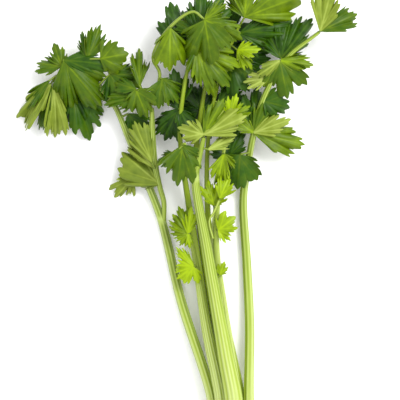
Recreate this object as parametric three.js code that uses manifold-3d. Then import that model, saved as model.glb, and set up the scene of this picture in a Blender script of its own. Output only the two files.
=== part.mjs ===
// A head of celery lying on its back: one butt, ten stalks that fan out of it, four side
// branches, and the leaf sprays that the stalks and branches carry.
// Millimetres. X runs across the head, +Y from the cut butt to the leaves, +Z up.

import * as THREE from 'three';
import { mergeVertices } from 'three/addons/utils/BufferGeometryUtils.js';
import Module from 'manifold-3d';

const wasm = await Module();
wasm.setup();

// ---- driving dimensions ----------------------------------------------------------------

const GAP = 0.35; // between two pieces that lie against each other
const HEAD_AXIS_HEIGHT = 26; // of the butt's axis over the surface
const BUTT = {
  length: 28, cutRadius: 16, crownRadius: 20, sides: 20,
  flare: 3, flareShare: 0.35, crownShare: 0.7, shoulder: 4, dome: 3,
};
const SEAT = { start: 5, startShare: 0.72, full: 30 }; // how a stalk's foot leans out from the butt
const STALK = {
  sides: 8, step: 36, fewest: 7, thicknessBase: 2, thicknessShare: 0.42, channelShare: 0.25, round: 3,
  samples: 200,
};
const STEM = { radius: 1.3, sides: 4, knot: 2 };
const BLADE = { across: 4, along: 2, thickness: 0.8, neck: 1.2, shoulder: 0.3, bays: 2, rest: 1.2 };

// Each stalk: the way its ribbed back faces, its width at even steps from butt to tip, and the
// points that its centre line needs. `seat` is where its foot stands round the butt's axis: the
// angle in degrees and the distance out. A branch has no seat.
const STALKS = {
  outer_stalk_left: {
    seat: [195, 22], back: [-0.72, 0, 0.7], widths: [14, 12.5, 12, 11, 9, 6.5, 4],
    route: [[-22, 53, 20], [-56, 161, 9], [-78, 251, 7], [-95, 296, 12],
      [-114, 341, 16], [-130, 378, 20], [-155, 405, 25], [-183, 425, 28]],
  },
  outer_stalk_right: {
    seat: [-15, 21], back: [0.6, 0, 0.8], widths: [14, 11.5, 11, 10, 8, 6, 3.5],
    route: [[19, 53, 19], [20, 133, 11], [17, 202, 7], [13, 273, 8], [17, 306, 12],
      [23, 341, 22], [36, 388, 33], [60, 428, 42], [95, 456, 48]],
  },
  front_stalk: {
    seat: [86, 20], back: [0, 0, 1], widths: [21, 19, 16, 13, 11, 9, 5],
    route: [[2, 53, 46], [-7, 104, 44], [-27, 217, 42], [-40, 297, 45], [-37, 315, 47],
      [-31, 341, 52]],
  },
  inner_stalk_left: {
    seat: [150, 14], back: [-0.5, 0, 0.86], widths: [15, 15, 13, 9, 3],
    route: [[-12, 53, 33], [-28, 133, 27], [-41, 211, 24], [-47, 240, 27]],
  },
  inner_stalk_right: {
    seat: [45, 10], back: [0.5, 0, 0.86], widths: [15, 14, 12, 8, 6, 4, 3],
    route: [[5, 53, 33], [-10, 161, 30], [-17, 228, 31], [-11, 311, 36], [-4, 359, 43]],
  },
  back_stalk_left: {
    seat: [225, 21], back: [-0.45, 0, -0.9], widths: [14, 11, 10, 8.5, 6, 5, 3.4],
    route: [[-15, 53, 11], [-32, 163, 6.5], [-44, 245, 9], [-56, 328, 22], [-57, 355, 29],
      [-52, 399, 39], [-40, 451, 44]],
  },
  back_stalk_right: {
    seat: [305, 18], back: [0.45, 0, -0.9], widths: [14, 10, 9, 7, 5, 4, 3],
    route: [[10, 53, 11], [-12, 163, 6.5], [-26, 256, 9], [-25, 350, 16], [-11, 416, 25],
      [7, 462, 34]],
  },
  under_stalk: {
    seat: [265, 21], back: [0, 0, -1], widths: [12, 9, 8, 6, 3],
    route: [[-2, 53, 5], [-22, 163, 4.6], [-36, 256, 6], [-40, 317, 11], [-23, 436, 27]],
  },
  heart_stalk_long: {
    back: [0, 0, 1], widths: [8, 6, 5, 3],
    route: [[-4, 20, 29], [-5, 53, 26], [-19, 163, 23], [-21, 229, 26], [-19, 264, 32]],
  },
  heart_stalk_short: {
    back: [0, 0, 1], widths: [7, 5, 3],
    route: [[4, 20, 20], [2, 53, 18], [-18, 152, 20], [-19, 185, 33]],
  },
  left_branch: {
    back: [-0.3, 0, 0.95], widths: [5, 6, 8, 5],
    route: [[-75, 250, 9], [-75, 271, 14], [-79, 286, 18], [-86, 320, 25], [-88, 374, 33]],
  },
  left_arching_branch: {
    back: [0, 0, 1], widths: [3.6, 3.6, 4.4, 3.6, 2.6],
    route: [[-88, 377, 35], [-79, 411, 43], [-86, 428, 47], [-67, 461, 57], [-42, 477, 62],
      [-32, 470, 61]],
  },
  front_branch: {
    back: [0, 0, 1], widths: [7, 8, 5],
    route: [[-43, 304, 46], [-46, 317, 48], [-53, 335, 51]],
  },
  looping_branch: {
    back: [0, 0, 1], widths: [2.8, 2.6, 2.4],
    route: [[-21, 231, 35], [-25, 250, 38], [-19, 261, 39], [-14, 273, 40]],
  },
};

// Each spray: the stalk or branch that bears it, the knot where its blades spring, and its
// blades. A blade runs from `from` (the knot where none is given) to `tip`; `spread` is half
// its fan, `droop` its arch, `fold` the V along its midrib and `roll` its turn about its
// length, all in degrees; `cut` is how deep the bays between its lobes reach.
const SPRAYS = {
  left_crown_leaf: { on: 'outer_stalk_left', knot: [-184, 426, 36], blades: [
    { tip: [-142, 375, 30], spread: 52, droop: 34, fold: -14, cut: 0.18 },
    { tip: [-132, 420, 42], spread: 30, droop: 30, fold: -30, cut: 0.25, roll: -8 }] },
  left_spread_leaf: { on: 'outer_stalk_left', knot: [-158, 427, 40], blades: [
    { tip: [-143, 466, 38], spread: 30, droop: 18, fold: 14, cut: 0.5, roll: 12 },
    { tip: [-164, 458, 34], spread: 26, droop: 22, fold: 10, cut: 0.4 },
    { from: [-144, 427, 44], tip: [-113, 433, 40], spread: 64, droop: 46, fold: -16, cut: 0.16 }] },
  left_tuft_leaf: { on: 'outer_stalk_left', knot: [-187, 420, 30], blades: [
    { tip: [-196, 446, 26], spread: 40, droop: 34, fold: 12, cut: 0.4 },
    { tip: [-216, 424, 20], spread: 36, droop: 40, fold: 8, cut: 0.3 }] },
  left_drooping_leaf: { on: 'outer_stalk_left', knot: [-192, 410, 27], blades: [
    { from: [-196, 399, 24], tip: [-194, 340, 10], spread: 20, droop: 30, fold: 40, cut: 0.48, roll: 168 },
    { from: [-199, 401, 25], tip: [-232, 352, 8], spread: 22, droop: 34, fold: 40, cut: 0.4, roll: 200 },
    { from: [-199, 401, 25], tip: [-214, 350, 9], spread: 18, droop: 30, fold: 34, cut: 0.4, roll: 14 },
    { from: [-201, 404, 27], tip: [-229, 372, 15], spread: 18, droop: 26, fold: 34, cut: 0.35, roll: 20 }] },
  left_shaded_leaf: { on: 'outer_stalk_left', knot: [-182, 405, 20], blades: [
    { tip: [-176, 351, 6], spread: 32, droop: 22, fold: -12, cut: 0.4 },
    { from: [-176, 397, 16], tip: [-156, 338, 5], spread: 30, droop: 22, fold: 10, cut: 0.55, roll: -8 },
    { from: [-176, 397, 16], tip: [-142, 366, 10], spread: 34, droop: 24, fold: 6, cut: 0.4 }] },
  left_inner_leaf: { on: 'outer_stalk_left', knot: [-134, 411, 31], blades: [
    { tip: [-106, 381, 27], spread: 46, droop: 34, fold: -10, cut: 0.24 },
    { tip: [-102, 410, 32], spread: 40, droop: 32, fold: -8, cut: 0.26 },
    { tip: [-126, 440, 38], spread: 40, droop: 34, fold: -10, cut: 0.24 },
    { tip: [-128, 378, 24], spread: 34, droop: 26, fold: 6, cut: 0.34 }] },
  left_low_leaf: { on: 'outer_stalk_left', knot: [-114, 368, 22], blades: [
    { tip: [-94, 340, 12], spread: 46, droop: 30, fold: 16, cut: 0.26, roll: 8 }] },
  left_bract_leaf: { on: 'left_branch', knot: [-94, 387, 38], blades: [
    { tip: [-141, 378, 38], spread: 20, droop: 20, fold: -24, cut: 0.3, roll: 14 },
    { from: [-105, 394, 43], tip: [-92, 362, 40], spread: 60, droop: 40, fold: 12, cut: 0.24 },
    { from: [-105, 394, 43], tip: [-130, 402, 36], spread: 34, droop: 30, fold: -8, cut: 0.3 },
    { from: [-101, 398, 42], tip: [-102, 441, 34], spread: 22, droop: 20, fold: 26, cut: 0.52 }] },
  left_curly_leaf: { on: 'left_arching_branch', knot: [-76, 405, 46], blades: [
    { tip: [-80, 372, 38], spread: 40, droop: 52, fold: 26, cut: 0.34, roll: 10 },
    { tip: [-62, 396, 44], spread: 40, droop: 44, fold: 20, cut: 0.34 },
    { tip: [-58, 378, 40], spread: 36, droop: 36, fold: 10, cut: 0.34 }] },
  left_pale_leaf: { on: 'left_branch', knot: [-85, 308, 27], blades: [
    { from: [-88, 315, 30], tip: [-107, 360, 32], spread: 22, droop: 24, fold: 24, cut: 0.3, roll: 176 },
    { tip: [-112, 338, 25], spread: 18, droop: 20, fold: 12, cut: 0.25, roll: 186 }] },
  left_square_leaf: { on: 'left_branch', knot: [-79, 290, 21], blades: [
    { tip: [-122, 326, 19], spread: 36, droop: 26, fold: -14, cut: 0.1, roll: 180 },
    { tip: [-106, 302, 14], spread: 34, droop: 26, fold: -8, cut: 0.14, roll: 180 }] },
  left_foot_leaf: { on: 'outer_stalk_left', knot: [-109, 299, 11], blades: [
    { tip: [-130, 275, 5], spread: 40, droop: 36, fold: 10, cut: 0.36, roll: 172 }] },
  front_star_leaf: { on: 'front_branch', knot: [-54, 332, 55], blades: [
    { tip: [-60, 287, 46], spread: 42, droop: 30, fold: 8, cut: 0.44 },
    { tip: [-36, 320, 56], spread: 30, droop: 24, fold: 10, cut: 0.3 },
    { from: [-62, 324, 50], tip: [-84, 313, 40], spread: 34, droop: 30, fold: 4, cut: 0.3, roll: 6 }] },
  front_crown_leaf: { on: 'front_stalk', knot: [-31, 344, 57], blades: [
    { tip: [-60, 352, 53], spread: 46, droop: 34, fold: -16, cut: 0.22, roll: 178 },
    { tip: [-9, 383, 62], spread: 26, droop: 26, fold: 22, cut: 0.22 },
    { tip: [16, 365, 56], spread: 24, droop: 34, fold: -12, cut: 0.34, roll: 188 }] },
  front_side_leaf: { on: 'front_stalk', knot: [-26, 328, 50], blades: [
    { tip: [3, 341, 46], spread: 20, droop: 26, fold: 14, cut: 0.3, roll: 184 }] },
  left_dark_leaf: { on: 'back_stalk_left', knot: [-58, 373, 32], blades: [
    { tip: [-76, 337, 20], spread: 42, droop: 34, fold: 10, cut: 0.34, roll: 8 },
    { tip: [-70, 396, 32], spread: 40, droop: 30, fold: 10, cut: 0.34, roll: 6 },
    { tip: [-44, 346, 37], spread: 36, droop: 30, fold: 8, cut: 0.34 },
    { tip: [-64, 418, 28], spread: 34, droop: 28, fold: 8, cut: 0.34 },
    { tip: [-84, 345, 16], spread: 28, droop: 28, fold: 8, cut: 0.34 }] },
  right_round_leaf: { on: 'outer_stalk_right', knot: [9, 323, 31], blades: [
    { tip: [6, 284, 21], spread: 68, droop: 38, fold: -14, cut: 0.12 }] },
  right_teal_leaf: { on: 'back_stalk_right', knot: [-3, 322, 20], blades: [
    { tip: [-24, 334, 21], spread: 50, droop: 30, fold: 14, cut: 0.2 },
    { tip: [14, 340, 20], spread: 36, droop: 28, fold: 8, cut: 0.3 },
    { tip: [6, 356, 14], spread: 30, droop: 28, fold: 8, cut: 0.3 }] },
  right_wavy_leaf: { on: 'inner_stalk_right', knot: [-9, 323, 41], blades: [
    { tip: [-17, 284, 35], spread: 28, droop: 36, fold: 22, cut: 0.26, roll: 10 },
    { tip: [4, 306, 36], spread: 30, droop: 28, fold: 14, cut: 0.3 }] },
  heart_leaf: { on: 'heart_stalk_long', knot: [-20, 267, 34], blades: [
    { tip: [-26, 295, 37], spread: 42, droop: 30, fold: 26, cut: 0.42 },
    { tip: [-15, 292, 34], spread: 30, droop: 26, fold: 18, cut: 0.4 },
    { tip: [-6, 280, 33], spread: 30, droop: 26, fold: 16, cut: 0.4 }] },
  right_maple_leaf: { on: 'inner_stalk_right', knot: [-15, 240, 37], blades: [
    { tip: [4, 255, 37], spread: 58, droop: 26, fold: 16, cut: 0.42 },
    { tip: [-1, 228, 34], spread: 34, droop: 26, fold: 10, cut: 0.4 }] },
  right_loop_leaf: { on: 'looping_branch', knot: [-13, 275, 42], blades: [
    { tip: [-3, 300, 41], spread: 38, droop: 26, fold: 20, cut: 0.24 }] },
  heart_bud_leaf: { on: 'heart_stalk_short', knot: [-13, 191, 38], blades: [
    { tip: [-8, 206, 39], spread: 50, droop: 26, fold: 18, cut: 0.35 }] },
  inner_yellow_leaf: { on: 'inner_stalk_left', knot: [-42, 200, 33], blades: [
    { tip: [-53, 181, 27], spread: 68, droop: 40, fold: -10, cut: 0.38 },
    { tip: [-62, 201, 30], spread: 36, droop: 30, fold: 10, cut: 0.36 },
    { tip: [-61, 186, 28], spread: 34, droop: 32, fold: 8, cut: 0.36 },
    { tip: [-62, 222, 31], spread: 20, droop: 24, fold: 12, cut: 0.4 }] },
  inner_green_leaf: { on: 'inner_stalk_left', knot: [-48, 236, 32], blades: [
    { tip: [-70, 244, 27], spread: 36, droop: 36, fold: 8, cut: 0.44 },
    { tip: [-58, 222, 28], spread: 40, droop: 40, fold: 4, cut: 0.44 },
    { tip: [-59, 267, 30], spread: 34, droop: 30, fold: 16, cut: 0.44 },
    { tip: [-44, 266, 36], spread: 28, droop: 26, fold: 20, cut: 0.44 },
    { tip: [-66, 258, 28], spread: 30, droop: 30, fold: 12, cut: 0.44 },
    { tip: [-46, 219, 34], spread: 32, droop: 30, fold: 12, cut: 0.4 }] },
  arch_hanging_leaf: { on: 'left_arching_branch', knot: [-67, 459, 60], blades: [
    { tip: [-68, 412, 52], spread: 40, droop: 40, fold: -18, cut: 0.34 }] },
  arch_crown_leaf: { on: 'left_arching_branch', knot: [-30, 468, 63], blades: [
    { tip: [-22, 420, 58], spread: 60, droop: 36, fold: -10, cut: 0.4 },
    { tip: [12, 447, 58], spread: 30, droop: 34, fold: -8, cut: 0.36 },
    { tip: [-6, 486, 62], spread: 30, droop: 20, fold: 10, cut: 0.26, roll: 4 }] },
  top_lobed_leaf: { on: 'back_stalk_left', knot: [-38, 438, 49], blades: [
    { tip: [-18, 384, 45], spread: 28, droop: 26, fold: 10, cut: 0.36 },
    { tip: [10, 418, 48], spread: 32, droop: 28, fold: 0, cut: 0.34 },
    { tip: [-42, 400, 46], spread: 26, droop: 26, fold: 10, cut: 0.36 },
    { tip: [-2, 396, 42], spread: 32, droop: 28, fold: 6, cut: 0.34 }] },
  top_dark_leaf_left: { on: 'back_stalk_left', knot: [-52, 430, 36], blades: [
    { tip: [-68, 491, 36], spread: 34, droop: 22, fold: 10, cut: 0.3 },
    { tip: [-82, 447, 30], spread: 36, droop: 30, fold: 8, cut: 0.38 },
    { tip: [-54, 484, 28], spread: 34, droop: 26, fold: 8, cut: 0.3 }] },
  top_dark_leaf_middle: { on: 'back_stalk_left', knot: [-36, 453, 44], blades: [
    { tip: [-34, 506, 46], spread: 34, droop: 22, fold: 10, cut: 0.3 },
    { tip: [-8, 496, 40], spread: 32, droop: 24, fold: 12, cut: 0.3 },
    { tip: [-64, 470, 40], spread: 32, droop: 26, fold: 10, cut: 0.34 }] },
  top_bright_leaf: { on: 'back_stalk_right', knot: [14, 473, 41], blades: [
    { tip: [78, 496, 46], spread: 30, droop: 26, fold: -14, cut: 0.22 },
    { tip: [16, 511, 42], spread: 30, droop: 22, fold: 18, cut: 0.34, roll: 6 },
    { tip: [-6, 500, 38], spread: 22, droop: 20, fold: 16, cut: 0.34 }] },
  top_dark_leaf_right: { on: 'back_stalk_right', knot: [9, 456, 34], blades: [
    { tip: [67, 470, 34], spread: 26, droop: 22, fold: -20, cut: 0.28 },
    { tip: [57, 449, 29], spread: 26, droop: 24, fold: -10, cut: 0.3 },
    { tip: [38, 436, 26], spread: 34, droop: 28, fold: 8, cut: 0.34 }] },
  middle_dark_leaf: { on: 'back_stalk_right', knot: [-4, 431, 28], blades: [
    { tip: [42, 426, 24], spread: 34, droop: 30, fold: 12, cut: 0.34 },
    { tip: [20, 392, 20], spread: 40, droop: 34, fold: 12, cut: 0.34 },
    { tip: [-24, 394, 20], spread: 34, droop: 30, fold: 8, cut: 0.34 },
    { tip: [-34, 418, 18], spread: 36, droop: 28, fold: 8, cut: 0.34 },
    { tip: [28, 410, 32], spread: 34, droop: 28, fold: 8, cut: 0.34 },
    { tip: [2, 384, 27], spread: 36, droop: 30, fold: 8, cut: 0.34 },
    { tip: [46, 441, 20], spread: 28, droop: 26, fold: 8, cut: 0.34 }] },
  middle_yellow_leaf: { on: 'back_stalk_right', knot: [6, 437, 37], blades: [
    { tip: [32, 438, 40], spread: 46, droop: 30, fold: 24, cut: 0.38 },
    { tip: [22, 416, 40], spread: 32, droop: 28, fold: 16, cut: 0.36 }] },
  middle_low_leaf: { on: 'back_stalk_right', knot: [-15, 381, 19], blades: [
    { tip: [15, 366, 14], spread: 40, droop: 30, fold: 10, cut: 0.34 },
    { tip: [12, 398, 22], spread: 36, droop: 28, fold: 8, cut: 0.34 },
    { tip: [-4, 350, 14], spread: 36, droop: 28, fold: 8, cut: 0.34 },
    { from: [-4, 378, 20], tip: [26, 377, 15], spread: 46, droop: 28, fold: 8, cut: 0.3 }] },
  under_leaf: { on: 'under_stalk', knot: [-34, 372, 15], blades: [
    { tip: [-62, 358, 7], spread: 42, droop: 30, fold: 0, cut: 0.34 },
    { tip: [-22, 339, 7], spread: 40, droop: 30, fold: 0, cut: 0.34 },
    { tip: [-46, 402, 12], spread: 38, droop: 28, fold: 0, cut: 0.34 },
    { tip: [-10, 392, 12], spread: 36, droop: 28, fold: 0, cut: 0.34 },
    { tip: [-71, 390, 8], spread: 34, droop: 28, fold: 0, cut: 0.34 }] },
  under_top_leaf: { on: 'under_stalk', knot: [-24, 434, 24], blades: [
    { tip: [-44, 471, 22], spread: 38, droop: 26, fold: 0, cut: 0.34 },
    { tip: [-11, 473, 22], spread: 36, droop: 26, fold: 0, cut: 0.34 },
    { tip: [8, 484, 20], spread: 36, droop: 26, fold: 0, cut: 0.34 },
    { tip: [-66, 446, 18], spread: 36, droop: 28, fold: 8, cut: 0.34 },
    { tip: [23, 467, 16], spread: 32, droop: 26, fold: 0, cut: 0.34 }] },
  right_pointing_leaf: { on: 'outer_stalk_right', knot: [54, 428, 36], blades: [
    { tip: [88, 472, 37], spread: 22, droop: 22, fold: -18, cut: 0.24 },
    { tip: [62, 478, 30], spread: 24, droop: 22, fold: 0, cut: 0.34 },
    { tip: [36, 462, 33], spread: 32, droop: 26, fold: 8, cut: 0.34 },
    { tip: [82, 446, 33], spread: 28, droop: 24, fold: 8, cut: 0.3 }] },
  right_crown_leaf: { on: 'outer_stalk_right', knot: [96, 457, 51], blades: [
    { tip: [110, 509, 57], spread: 28, droop: 24, fold: 18, cut: 0.14, roll: 180 },
    { tip: [138, 477, 45], spread: 24, droop: 26, fold: 22, cut: 0.24 }] },
  right_lobed_leaf: { on: 'outer_stalk_right', knot: [52, 425, 46], blades: [
    { tip: [61, 383, 38], spread: 56, droop: 34, fold: -14, cut: 0.26 },
    { tip: [89, 420, 44], spread: 26, droop: 24, fold: 8, cut: 0.34 },
    { tip: [27, 408, 48], spread: 26, droop: 40, fold: -8, cut: 0.1, roll: 176 },
    { tip: [34, 396, 38], spread: 34, droop: 30, fold: -8, cut: 0.34 }] },
  right_pale_leaf: { on: 'outer_stalk_right', knot: [41, 407, 40], blades: [
    { tip: [12, 402, 38], spread: 32, droop: 34, fold: 16, cut: 0.34, roll: 182 }] },
  right_serrate_leaf: { on: 'outer_stalk_right', knot: [35, 381, 33], blades: [
    { tip: [65, 374, 26], spread: 60, droop: 34, fold: 8, cut: 0.1 }] },
  right_fan_leaf: { on: 'outer_stalk_right', knot: [24, 347, 28], blades: [
    { tip: [46, 382, 28], spread: 28, droop: 24, fold: 22, cut: 0.2 },
    { tip: [65, 362, 30], spread: 26, droop: 26, fold: 16, cut: 0.26, roll: 182 },
    { tip: [81, 334, 18], spread: 26, droop: 26, fold: 24, cut: 0.16 },
    { tip: [3, 362, 30], spread: 32, droop: 28, fold: 12, cut: 0.34 },
    { tip: [40, 374, 24], spread: 34, droop: 26, fold: 8, cut: 0.34 },
    { tip: [12, 387, 22], spread: 32, droop: 26, fold: 8, cut: 0.34 },
    { tip: [28, 399, 19], spread: 30, droop: 26, fold: 8, cut: 0.34 }] },
  right_small_leaf: { on: 'inner_stalk_right', knot: [-3, 362, 46], blades: [
    { tip: [5, 389, 50], spread: 36, droop: 34, fold: 22, cut: 0.3 },
    { tip: [20, 376, 46], spread: 30, droop: 30, fold: 20, cut: 0.34 },
    { tip: [-16, 346, 43], spread: 34, droop: 28, fold: 14, cut: 0.3 }] },
};

const COLOURS = {
  butt: { color: 0xd9dcae, roughness: 0.6 },
  stalk: { color: 0xa9c768, roughness: 0.42 },
  leaf: { color: 0x5a8a1e, roughness: 0.55 },
};

// ---- small helpers ---------------------------------------------------------------------

const vec = (values) => new THREE.Vector3(...values);
const radians = THREE.MathUtils.degToRad;

/** The centre line of a stalk or branch, with its foot on the butt where it has one. */
function centreLine(stalk) {
  const points = stalk.route.map(vec);
  if (stalk.seat) {
    const [angle, distance] = stalk.seat;
    const out = new THREE.Vector3(Math.cos(radians(angle)), 0, Math.sin(radians(angle)));
    const axis = (y) => new THREE.Vector3(0, y, HEAD_AXIS_HEIGHT);
    const start = axis(SEAT.start).addScaledVector(out, distance * SEAT.startShare);
    points.unshift(start, axis(SEAT.full).addScaledVector(out, distance));
  }
  return new THREE.CatmullRomCurve3(points, false, 'centripetal');
}

/** The value at t (0 to 1) of a row of values spaced evenly. */
function along(values, t) {
  const place = THREE.MathUtils.clamp(t, 0, 1) * (values.length - 1);
  const index = Math.min(Math.floor(place), values.length - 2);
  return THREE.MathUtils.lerp(values[index], values[index + 1], place - index);
}

/** The same vector with its part along an axis taken out, one unit long. */
function squareTo(vector, axis) {
  return vector.clone().addScaledVector(axis, -vector.dot(axis)).normalize();
}

/** Moves every vertex of a geometry to place(x, y, z). */
function deform(geometry, place) {
  const position = geometry.attributes.position;
  for (let i = 0; i < position.count; i += 1) {
    const moved = place(position.getX(i), position.getY(i), position.getZ(i));
    position.setXYZ(i, moved.x, moved.y, moved.z);
  }
  return geometry;
}

/** A closed geometry as a solid that can be joined and cut. */
function toSolid(geometry) {
  geometry.deleteAttribute('normal');
  geometry.deleteAttribute('uv');
  const merged = mergeVertices(geometry, 1e-4);
  return new wasm.Manifold(new wasm.Mesh({
    numProp: 3,
    vertProperties: new Float32Array(merged.attributes.position.array),
    triVerts: new Uint32Array(merged.index.array),
  }));
}

/** A solid as a geometry with flat normals. */
function toGeometry(solid) {
  const mesh = solid.getMesh();
  const geometry = new THREE.BufferGeometry();
  geometry.setAttribute('position', new THREE.BufferAttribute(mesh.vertProperties, mesh.numProp));
  geometry.setIndex(new THREE.BufferAttribute(mesh.triVerts, 1));
  geometry.computeVertexNormals();
  return geometry;
}

/** The biggest of the bodies that a cut leaves. */
function biggestBody(solid) {
  const bodies = solid.decompose();
  return bodies.reduce((best, body) => (body.volume() > best.volume() ? body : best));
}

// ---- butt ------------------------------------------------------------------------------

/** The short stem: a cone from the cut face to a low crown where the stalks stand. */
function buttSolid(grow) {
  const { length, cutRadius, crownRadius, flare, shoulder, dome } = BUTT;
  const profile = [
    [0, -grow],
    [cutRadius + grow, -grow],
    [crownRadius - flare + grow, length * BUTT.flareShare],
    [crownRadius + grow, length * BUTT.crownShare],
    [crownRadius - shoulder + grow, length],
    [0, length + dome + grow],
  ].map(([radius, height]) => new THREE.Vector2(radius, height));
  const geometry = new THREE.LatheGeometry(profile, BUTT.sides);
  geometry.translate(0, 0, HEAD_AXIS_HEIGHT);
  return toSolid(geometry);
}

// ---- stalks ----------------------------------------------------------------------------

/** A stalk: a crescent section, ribbed back outwards, swept along its route. */
function stalkSolid(stalk, grow) {
  const curve = centreLine(stalk);
  const back = vec(stalk.back);
  const steps = Math.max(STALK.fewest, Math.round(curve.getLength() / STALK.step));
  const geometry = new THREE.CylinderGeometry(1, 1, 1, STALK.sides, steps);
  const place = (x, y, z) => {
    const t = y + 0.5;
    const tangent = curve.getTangentAt(t);
    const normal = squareTo(back, tangent);
    const side = new THREE.Vector3().crossVectors(tangent, normal);
    const width = along(stalk.widths, t);
    const thickness = STALK.thicknessBase + width * STALK.thicknessShare;
    const channel = Math.max(0, width - STALK.round) * STALK.channelShare;
    const end = (t === 0 ? -grow : 0) + (t === 1 ? grow : 0);
    return curve.getPointAt(t)
      .addScaledVector(tangent, end)
      .addScaledVector(side, x * (width / 2 + grow))
      .addScaledVector(normal, z * (thickness / 2 + grow) + channel * (0.5 - x * x));
  };
  return toSolid(deform(geometry, place));
}

// ---- leaves ----------------------------------------------------------------------------

/** How far a blade reaches at u, from -1 at one side of its fan to 1 at the other. */
function bladeReach(u, cut) {
  const bay = (1 - Math.cos(u * Math.PI * BLADE.bays)) / 2;
  return (1 - BLADE.shoulder * Math.abs(u) ** 1.5) * (1 - cut * bay);
}

/** Turns the diagonals of a box's last side, so that its two broad sides crease alike when bent. */
function creaseAlike(geometry) {
  const { index, groups } = geometry;
  const { start, count } = groups.at(-1);
  for (let i = start; i < start + count; i += 6) {
    const [a, b, d, , c] = index.array.slice(i, i + 6);
    index.array.set([a, b, c, a, c, d], i);
  }
  return geometry;
}

/** One blade: a lobed fan, arched along its length and folded along its midrib. */
function bladeSolid(from, blade, grow) {
  const start = vec(from);
  const run = vec(blade.tip).sub(start);
  const length = run.length() + grow;
  const forward = run.normalize();
  const roll = radians(blade.roll ?? 0);
  const normal = squareTo(new THREE.Vector3(0, 0, 1), forward).applyAxisAngle(forward, roll);
  const side = new THREE.Vector3().crossVectors(forward, normal);
  const bend = radians(blade.droop);
  const radius = length / (2 * Math.sin(bend / 2));
  const upright = Math.sign(Math.cos(roll));
  const geometry = creaseAlike(new THREE.BoxGeometry(2, 1, 1, BLADE.across, BLADE.along, 1));
  const place = (u, y, z) => {
    const s = y + 0.5;
    const angle = u * radians(blade.spread);
    const reach = length * bladeReach(u, blade.cut) * s;
    const across = reach * Math.sin(angle) + u * (BLADE.neck * (1 - s) + grow);
    const turn = bend * ((reach * Math.cos(angle)) / length - 0.5);
    const ahead = radius * (Math.sin(turn) + Math.sin(bend / 2));
    const arch = upright * radius * (Math.cos(turn) - Math.cos(bend / 2));
    const fold = Math.abs(across) * Math.tan(radians(blade.fold)) * upright * s;
    const point = start.clone()
      .addScaledVector(side, across)
      .addScaledVector(forward, ahead)
      .addScaledVector(normal, arch + fold);
    point.z = Math.max(point.z, BLADE.rest);
    return point.addScaledVector(normal, z * (BLADE.thickness + 2 * grow));
  };
  return toSolid(deform(geometry, place));
}

/** A thin round stem from one point to another. */
function stemSolid(from, to, grow) {
  const start = vec(from);
  const run = vec(to).sub(start);
  const radius = STEM.radius + grow;
  const geometry = new THREE.CylinderGeometry(radius, radius, run.length(), STEM.sides, 1);
  geometry.translate(0, run.length() / 2, 0);
  const axis = new THREE.Vector3(0, 1, 0);
  geometry.applyQuaternion(new THREE.Quaternion().setFromUnitVectors(axis, run.clone().normalize()));
  geometry.translate(start.x, start.y, start.z);
  return toSolid(geometry);
}

/** The swelling where stems and blades meet. */
function knotSolid(at, grow) {
  const geometry = new THREE.OctahedronGeometry(STEM.knot + grow);
  geometry.translate(...at);
  return toSolid(geometry);
}

/** The point of a stalk's centre line nearest to a knot. */
function nearestOn(stalk, knot) {
  const curve = centreLine(stalk);
  const target = vec(knot);
  const points = curve.getSpacedPoints(STALK.samples);
  const nearer = (best, point) => (point.distanceTo(target) < best.distanceTo(target) ? point : best);
  return points.reduce(nearer).toArray();
}

/** A spray: its stem from the stalk, its knot, and its blades, joined as they grew. */
function spraySolid(spray, grow) {
  const root = nearestOn(STALKS[spray.on], spray.knot);
  let solid = knotSolid(spray.knot, grow).add(stemSolid(root, spray.knot, grow));
  for (const blade of spray.blades) {
    const from = blade.from ?? spray.knot;
    if (blade.from) {
      solid = solid.add(stemSolid(spray.knot, from, grow)).add(knotSolid(from, grow));
    }
    solid = solid.add(bladeSolid(from, blade, grow));
  }
  return solid;
}

// ---- the head --------------------------------------------------------------------------

/** Every piece in the order in which it keeps its shape: a later one is cut by an earlier one. */
function allPieces() {
  const stalks = Object.entries(STALKS).map(([name, stalk]) => ({
    name, look: COLOURS.stalk, solid: (grow) => stalkSolid(stalk, grow),
  }));
  const butt = { name: 'butt', look: COLOURS.butt, solid: buttSolid };
  const sprays = Object.entries(SPRAYS).map(([name, spray]) => ({
    name, look: COLOURS.leaf, solid: (grow) => spraySolid(spray, grow),
  }));
  return [...stalks, butt, ...sprays];
}

/** The pieces as solids that lie clear of each other. */
function clearOfEachOther(pieces) {
  const cutters = [];
  return pieces.map((piece) => {
    const trimmed = cutters.reduce((solid, cutter) => solid.subtract(cutter), piece.solid(0));
    cutters.push(piece.solid(GAP));
    return { ...piece, trimmed: biggestBody(trimmed) };
  });
}

/** The head as a group of named meshes, standing on its bounding box's bottom centre. */
function headOfCelery() {
  const head = new THREE.Group();
  for (const piece of clearOfEachOther(allPieces())) {
    const material = new THREE.MeshStandardMaterial({ ...piece.look, metalness: 0 });
    const mesh = new THREE.Mesh(toGeometry(piece.trimmed), material);
    mesh.name = piece.name;
    head.add(mesh);
  }
  const box = new THREE.Box3().setFromObject(head);
  const middle = box.getCenter(new THREE.Vector3());
  head.position.set(-middle.x, -middle.y, -box.min.z);
  head.updateMatrixWorld(true);
  return head;
}

export default headOfCelery();
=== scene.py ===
"""The looks of a head of celery that lies on its back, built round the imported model.

Ribbed stalks fan out of a short cut butt, branch, and carry sprays of lobed, toothed leaves.
Routes and places are in millimetres in the head's own layout: X across, Y from the cut face of
the butt to the leaves, Z up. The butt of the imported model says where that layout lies.
"""
import logging
import math
import random
from dataclasses import dataclass
from enum import Enum

import bpy
import numpy as np
from mathutils import Matrix, Vector


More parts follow.
